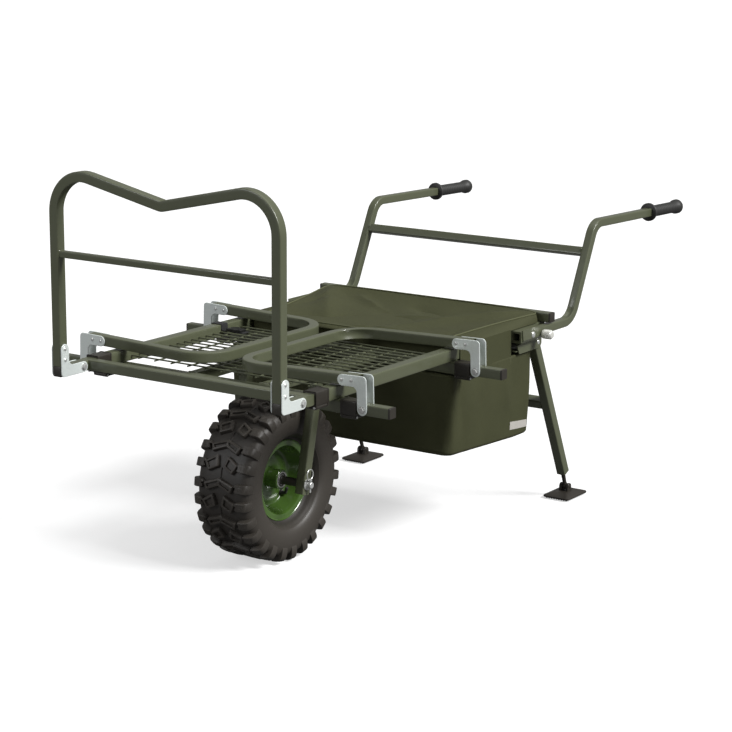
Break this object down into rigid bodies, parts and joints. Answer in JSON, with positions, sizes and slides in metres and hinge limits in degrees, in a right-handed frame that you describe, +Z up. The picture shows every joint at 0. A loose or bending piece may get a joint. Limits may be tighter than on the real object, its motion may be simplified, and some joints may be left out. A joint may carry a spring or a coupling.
{
  "type": "fishing trolley",
  "caption": "One-wheeled fishing trolley: tube frame with mesh deck, folding front hoop and side bars, hanging bag, folding legs with mud feet and pull-out handles.",
  "frame": {"origin": "on the floor under the middle of the whole trolley", "axes": "+Z up, +Y from the front hoop back to the handles, +X the trolley's right seen from the handles' far side (the near side in the picture)"},
  "size_m": [0.964, 1.8419, 0.96],
  "materials": {
    "frame_paint": "satin powder coat",
    "zinc_plate": "pale zinc plate",
    "zinc_fastener": "zinc plate",
    "bright_knob": "polished, knurled",
    "black_plastic": "moulded",
    "grip_rubber": "matt",
    "tyre_rubber": "matt",
    "rim_paint": "gloss",
    "bearing_steel": "ground",
    "bag_fabric": "woven, coated inside",
    "webbing": "woven",
    "buckle_plastic": "moulded"
  },
  "bodies": {
    "frame": {"rails": "frame_paint", "cross_tubes": "frame_paint", "fork_bearers": "frame_paint", "rear_cross_tube": "frame_paint", "rear_tube_caps": "black_plastic", "mesh_deck": "frame_paint", "guide_bushes": "black_plastic", "handle_sleeves": "frame_paint", "sleeve_bolts": "zinc_fastener", "leg_brackets": "frame_paint", "leg_pivot_pins": "zinc_fastener", "fork_legs": "frame_paint", "axle": "zinc_fastener", "axle_spacers": "black_plastic", "linch_pins": "zinc_fastener", "strap": "webbing", "strap_buckle": "buckle_plastic", "bag": "bag_fabric"},
    "front_extension": {"front_bar": "frame_paint", "front_stubs": "frame_paint", "stub_caps": "black_plastic", "extension_tubes": "frame_paint", "hoop_pivot_bolts": "zinc_fastener"},
    "hoop": {"front_hoop": "frame_paint", "hoop_rung": "frame_paint", "hoop_plates": "zinc_plate", "hoop_rivets": "zinc_fastener"},
    "arms_right": {"arm_tubes_right": "frame_paint", "arm_caps_right": "black_plastic", "side_pivot_bolts_right": "zinc_fastener"},
    "arms_left": {"arm_tubes_left": "frame_paint", "arm_caps_left": "black_plastic", "side_pivot_bolts_left": "zinc_fastener"},
    "side_frame_right": {"side_bar_right": "frame_paint", "side_plates_right": "zinc_plate", "side_rivets_right": "zinc_fastener"},
    "side_frame_left": {"side_bar_left": "frame_paint", "side_plates_left": "zinc_plate", "side_rivets_left": "zinc_fastener"},
    "handle": {"handle_tubes": "frame_paint", "handle_crossbar": "frame_paint", "handle_grips": "grip_rubber"},
    "knob_right": {"lock_knob_right": "bright_knob"},
    "knob_left": {"lock_knob_left": "bright_knob"},
    "leg_frame": {"legs": "frame_paint", "leg_rung": "frame_paint", "foot_stems": "black_plastic"},
    "foot_right": {"foot_pad_right": "black_plastic"},
    "foot_left": {"foot_pad_left": "black_plastic"},
    "wheel": {"rim": "rim_paint", "hub": "rim_paint", "wheel_bearings": "bearing_steel", "tyre": "tyre_rubber", "inner_tube": "tyre_rubber"},
    "clamp_rail_right": {"lever_rail_right": "black_plastic"},
    "clamp_arm_front_right": {"lever_arm_front_right": "black_plastic"},
    "clamp_arm_rear_right": {"lever_arm_rear_right": "black_plastic"},
    "clamp_rail_left": {"lever_rail_left": "black_plastic"},
    "clamp_arm_front_left": {"lever_arm_front_left": "black_plastic"},
    "clamp_arm_rear_left": {"lever_arm_rear_left": "black_plastic"}
  },
  "joints": [
    {"name": "front_extension_slide", "type": "slide", "parent": "frame", "child": "front_extension", "axis": [0, -1, 0], "range_m": [0, 0.18]},
    {"name": "hoop_fold", "type": "hinge", "parent": "front_extension", "child": "hoop", "pos_m": [0, -0.84425, 0.4875], "axis": [-1, 0, 0], "range_deg": [0, 90]},
    {"name": "arms_right_slide", "type": "slide", "parent": "frame", "child": "arms_right", "axis": [1, 0, 0], "range_m": [0, 0.11]},
    {"name": "arms_left_slide", "type": "slide", "parent": "frame", "child": "arms_left", "axis": [-1, 0, 0], "range_m": [-0.016, 0.094]},
    {"name": "side_frame_right_fold", "type": "hinge", "parent": "arms_right", "child": "side_frame_right", "pos_m": [0.401, -0.4635, 0.4575], "axis": [0, 1, 0], "range_deg": [0, 91.7]},
    {"name": "side_frame_left_fold", "type": "hinge", "parent": "arms_left", "child": "side_frame_left", "pos_m": [-0.417, -0.4635, 0.4575], "axis": [0, -1, 0], "range_deg": [0, 91.7]},
    {"name": "handle_slide", "type": "slide", "parent": "frame", "child": "handle", "axis": [0, 1, 0], "range_m": [0, 0.045]},
    {"name": "knob_right_pull", "type": "slide", "parent": "frame", "child": "knob_right", "axis": [1, 0, 0], "range_m": [0, 0.006], "stiffness_N_per_m": 300, "springref_m": -0.002},
    {"name": "knob_left_pull", "type": "slide", "parent": "frame", "child": "knob_left", "axis": [-1, 0, 0], "range_m": [0, 0.006], "stiffness_N_per_m": 300, "springref_m": -0.002},
    {"name": "leg_frame_fold", "type": "hinge", "parent": "frame", "child": "leg_frame", "pos_m": [0, 0.15875, 0.455], "axis": [-1, 0, 0], "range_deg": [0, 25]},
    {"name": "foot_right_swivel", "type": "hinge", "parent": "leg_frame", "child": "foot_right", "pos_m": [0.3285, 0.34791, 0.028], "axis": [1, 0, 0], "range_deg": [-15, 15]},
    {"name": "foot_left_swivel", "type": "hinge", "parent": "leg_frame", "child": "foot_left", "pos_m": [-0.3285, 0.34791, 0.028], "axis": [1, 0, 0], "range_deg": [-15, 15]},
    {"name": "wheel_spin", "type": "hinge", "parent": "frame", "child": "wheel", "pos_m": [0, -0.53225, 0.198], "axis": [-1, 0, 0], "continuous": true},
    {"name": "clamp_rail_right_open", "type": "hinge", "parent": "frame", "child": "clamp_rail_right", "pos_m": [0.3295, -0.77375, 0.468], "axis": [0, -1, 0], "range_deg": [0, 90]},
    {"name": "clamp_arm_front_right_open", "type": "hinge", "parent": "frame", "child": "clamp_arm_front_right", "pos_m": [0.365, -0.71375, 0.438], "axis": [-1, 0, 0], "range_deg": [0, 90]},
    {"name": "clamp_arm_rear_right_open", "type": "hinge", "parent": "frame", "child": "clamp_arm_rear_right", "pos_m": [0.365, -0.23725, 0.438], "axis": [-1, 0, 0], "range_deg": [0, 90]},
    {"name": "clamp_rail_left_open", "type": "hinge", "parent": "frame", "child": "clamp_rail_left", "pos_m": [-0.3295, -0.77375, 0.468], "axis": [0, 1, 0], "range_deg": [0, 90]},
    {"name": "clamp_arm_front_left_open", "type": "hinge", "parent": "frame", "child": "clamp_arm_front_left", "pos_m": [-0.365, -0.71375, 0.438], "axis": [-1, 0, 0], "range_deg": [0, 90]},
    {"name": "clamp_arm_rear_left_open", "type": "hinge", "parent": "frame", "child": "clamp_arm_rear_left", "pos_m": [-0.365, -0.23725, 0.438], "axis": [-1, 0, 0], "range_deg": [0, 90]}
  ]
}
